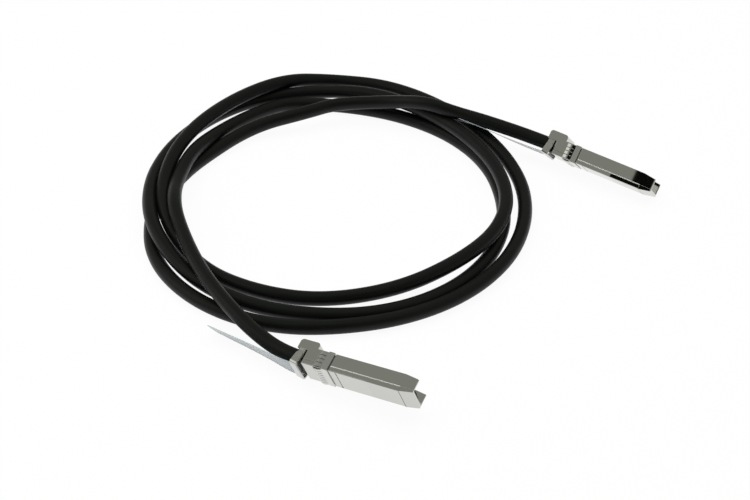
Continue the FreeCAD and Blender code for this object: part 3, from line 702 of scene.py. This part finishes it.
# A thin cloudy film that is darker where it is seen at a glancing angle.
def film(tag):
    material, nodes, links, output = newMaterial(f"strap_film_{tag}")
    vector = plugSpace(nodes, links, tag)
    surface = surfaceOn(nodes, links, vector, strapFilm["grainScale"], strapFilm["smudgeScale"])
    facing = addNode(nodes, "ShaderNodeLayerWeight", {"Blend": strapFilm["glance"]}).outputs["Facing"]
    color = blendColors(nodes, links, facing, strapFilm["color"], strapFilm["glancingColor"])
    cloud = smudged(nodes, links, surface, 1 - strapFilm["clear"], strapFilm["clearSwing"])
    skin = addNode(nodes, "ShaderNodeBsdfPrincipled", {"Roughness": strapFilm["roughness"]})
    links.new(color, skin.inputs["Base Color"])
    links.new(cloud, skin.inputs["Alpha"])
    links.new(skin.outputs["BSDF"], output.inputs["Surface"])
    return material


# The cable's matt black jacket with a fine grain.
def jacket():
    material, nodes, links, output = newMaterial("jacket_black")
    spot = nodes.new("ShaderNodeTexCoord").outputs["Object"]
    surface = surfaceOn(nodes, links, spot, cable["grainScale"], cable["smudgeScale"])
    shine = smudged(nodes, links, surface, cable["roughness"], cable["roughnessSwing"])
    normal = grainNormal(nodes, links, surface, cable["grain"], cable["grainDepth"])
    skin = addNode(nodes, "ShaderNodeBsdfPrincipled", {"Specular IOR Level": cable["shine"]})
    skin.inputs["Base Color"].default_value = (*cable["color"], 1)
    links.new(shine, skin.inputs["Roughness"])
    links.new(normal, skin.inputs["Normal"])
    links.new(skin.outputs["BSDF"], output.inputs["Surface"])
    return material


straps = {
    "width": 10.4,
    "thick": 0.3,
    "steps": 6,
    "tipShare": (0.84, 0.94, 0.99),
    # How far back, high, aside and twisted each strap is, mark by mark, in mm and degrees.
    "a": [
        (57.2, 8.85, 0.0, 0.0),
        (61.0, 8.75, 0.0, 1.0),
        (66.0, 8.3, 0.1, 3.0),
        (77.0, 6.4, 0.5, 7.0),
        (88.0, 4.8, 1.0, 10.0),
        (98.0, 3.6, 1.6, 12.5),
        (107.4, 2.4, 2.1, 14.5),
    ],
    "b": [
        (57.2, 8.85, 0.0, 0.0),
        (61.0, 8.95, 0.0, 0.5),
        (66.0, 9.2, 0.0, 1.5),
        (77.0, 9.4, 0.4, 3.5),
        (92.0, 9.4, 2.2, 6.0),
        (101.0, 9.5, 3.3, 7.0),
        (112.0, 9.8, 4.4, 7.5),
    ],
}


# A value on a smooth curve from start to end, shaped by the values before and after them.
def between(before, start, end, after, share):
    square, cube = share**2, share**3
    pull = 0.5 * (end - before) * (cube - 2 * square + share)
    push = 0.5 * (after - start) * (cube - square)
    return (2 * cube - 3 * square + 1) * start + pull + (3 * square - 2 * cube) * end + push


# How far back, high, aside and twisted the strap is, step by step from the plug.
def strapStops(tag):
    marks = straps[tag]
    padded = [marks[0], *marks, marks[-1]]
    stops = []
    for number in range(len(marks) - 1):
        group = padded[number : number + 4]
        for step in range(straps["steps"]):
            share = step / straps["steps"]
            stops.append([between(*values, share) for values in zip(*group)])
    return stops + [list(marks[-1])]


# The strap is a flat bar whose last corners narrow to a round end.
def addStrap(tag):
    matrix = plugMatrix(tag)
    corners, faces = [], []
    stops = strapStops(tag)
    for number, (back, rise, shift, twist) in enumerate(stops):
        left = len(stops) - 1 - number
        half = straps["width"] / 2
        if left < len(straps["tipShare"]):
            half *= straps["tipShare"][left]
        turn = math.radians(twist)
        across = Vector((0, math.cos(turn), math.sin(turn))) * half
        up = Vector((0, -math.sin(turn), math.cos(turn))) * straps["thick"] / 2
        middle = Vector((-back, shift, rise))
        ring = (middle + across + up, middle - across + up, middle - across - up, middle + across - up)
        corners += [tuple(matrix @ corner * mm) for corner in ring]
        if number:
            base = 4 * (number - 1)
            faces += [
                (base + side, base + (side + 1) % 4, base + 4 + (side + 1) % 4, base + 4 + side)
                for side in range(4)
            ]
    last = 4 * (len(stops) - 1)
    faces += [(3, 2, 1, 0), (last, last + 1, last + 2, last + 3)]
    mesh = bpy.data.meshes.new(f"Strap_{tag}")
    mesh.from_pydata(corners, [], faces)
    mesh.materials.append(film(tag))
    piece = bpy.data.objects.new(f"Strap_{tag}", mesh)
    bpy.context.scene.collection.objects.link(piece)
    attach(piece, f"latch_{tag}")
    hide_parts(f"pull_strap_{tag}")


for tag in plugs:
    addStrap(tag)
print("straps made")

# In mm. Front is how far back from the tip the stop block starts, and edge is where the cut begins,
# a little ahead of the block as the CAD has it.
block = {
    "front": 50.2,
    "edge": 47.3,
    "drop": 3.0,
    "round": 1.5,
    "steps": 6,
    "halfWidth": 7.2,
    "under": 0.2,
    "above": 0.01,
    "weld": 0.001,
}


# What is cut away: the space ahead of the block's new front, and outside its round lower corner.
def addCutter(tag):
    front, edge = -block["front"], -block["edge"]
    low, around = -block["drop"], block["round"]
    outline = [(edge, block["above"]), (edge, low - block["under"]), (front - around, low - block["under"])]
    for step in range(block["steps"] + 1):
        turn = math.pi / 2 * step / block["steps"]
        outline.append((front - around + around * math.sin(turn), low + around - around * math.cos(turn)))
    outline.append((front, block["above"]))
    count = len(outline)
    matrix = plugMatrix(tag)
    corners = [
        tuple(matrix @ Vector((x, y, z)) * mm)
        for y in (-block["halfWidth"], block["halfWidth"])
        for x, z in outline
    ]
    faces = [tuple(range(count)), tuple(reversed(range(count, 2 * count)))]
    faces += [
        (side, side + count, (side + 1) % count + count, (side + 1) % count) for side in range(count)
    ]
    mesh = bpy.data.meshes.new("cutter")
    mesh.from_pydata(corners, [], faces)
    shape = bmesh.new()
    shape.from_mesh(mesh)
    bmesh.ops.recalc_face_normals(shape, faces=shape.faces)
    shape.to_mesh(mesh)
    shape.free()
    cutter = bpy.data.objects.new("cutter", mesh)
    bpy.context.scene.collection.objects.link(cutter)
    return cutter


# The housing again, with the front of its stop block cut back.
def addHousing(tag):
    source = bpy.data.objects[f"housing_{tag}"]
    form = bmesh.new()
    form.from_mesh(source.data)
    bmesh.ops.transform(form, matrix=source.matrix_world, verts=form.verts)
    bmesh.ops.remove_doubles(form, verts=form.verts, dist=block["weld"] * mm)
    whole = bpy.data.meshes.new(f"Housing_{tag}")
    form.to_mesh(whole)
    form.free()
    piece = bpy.data.objects.new(f"Housing_{tag}", whole)
    bpy.context.scene.collection.objects.link(piece)
    cutter = addCutter(tag)
    trim = piece.modifiers.new("trim", "BOOLEAN")
    trim.operation = "DIFFERENCE"
    trim.solver = "EXACT"
    trim.object = cutter
    ready = bpy.context.evaluated_depsgraph_get()
    trimmed = bpy.data.meshes.new_from_object(piece.evaluated_get(ready))
    piece.modifiers.clear()
    piece.data = trimmed
    bpy.data.objects.remove(cutter)
    trimmed.shade_flat()
    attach(piece, "plugs_and_cable")
    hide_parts(f"housing_{tag}")


for tag in plugs:
    addHousing(tag)
print("housings trimmed")

# The finish of each node that shows.
nodeLooks = {
    "cover": "die_cast",
    "emi_collar": "spring_steel",
    "paddle_card": "board",
    "contacts": "gold",
    "card_parts": "chip",
    "conductors": "wire",
    "ferrule": "steel",
    "cover_screws": "steel",
    "latch_slide": "steel",
    "latch_springs": "spring_steel",
    "pull_yoke": "steel",
}


def coatPlugs():
    for tag in plugs:
        made = {name: metal(name, tag, look) for name, look in metals.items()}
        made.update({name: plastic(name, tag, look) for name, look in plastics.items()})
        for node, look in nodeLooks.items():
            piece = bpy.data.objects[f"{node}_{tag}"]
            for slot in piece.material_slots:
                slot.material = made[look]
        housing = bpy.data.objects[f"Housing_{tag}"].data
        housing.materials.clear()
        housing.materials.append(made["die_cast"])


coatPlugs()
cablePiece.data.materials.append(jacket())
print("surfaces finished")
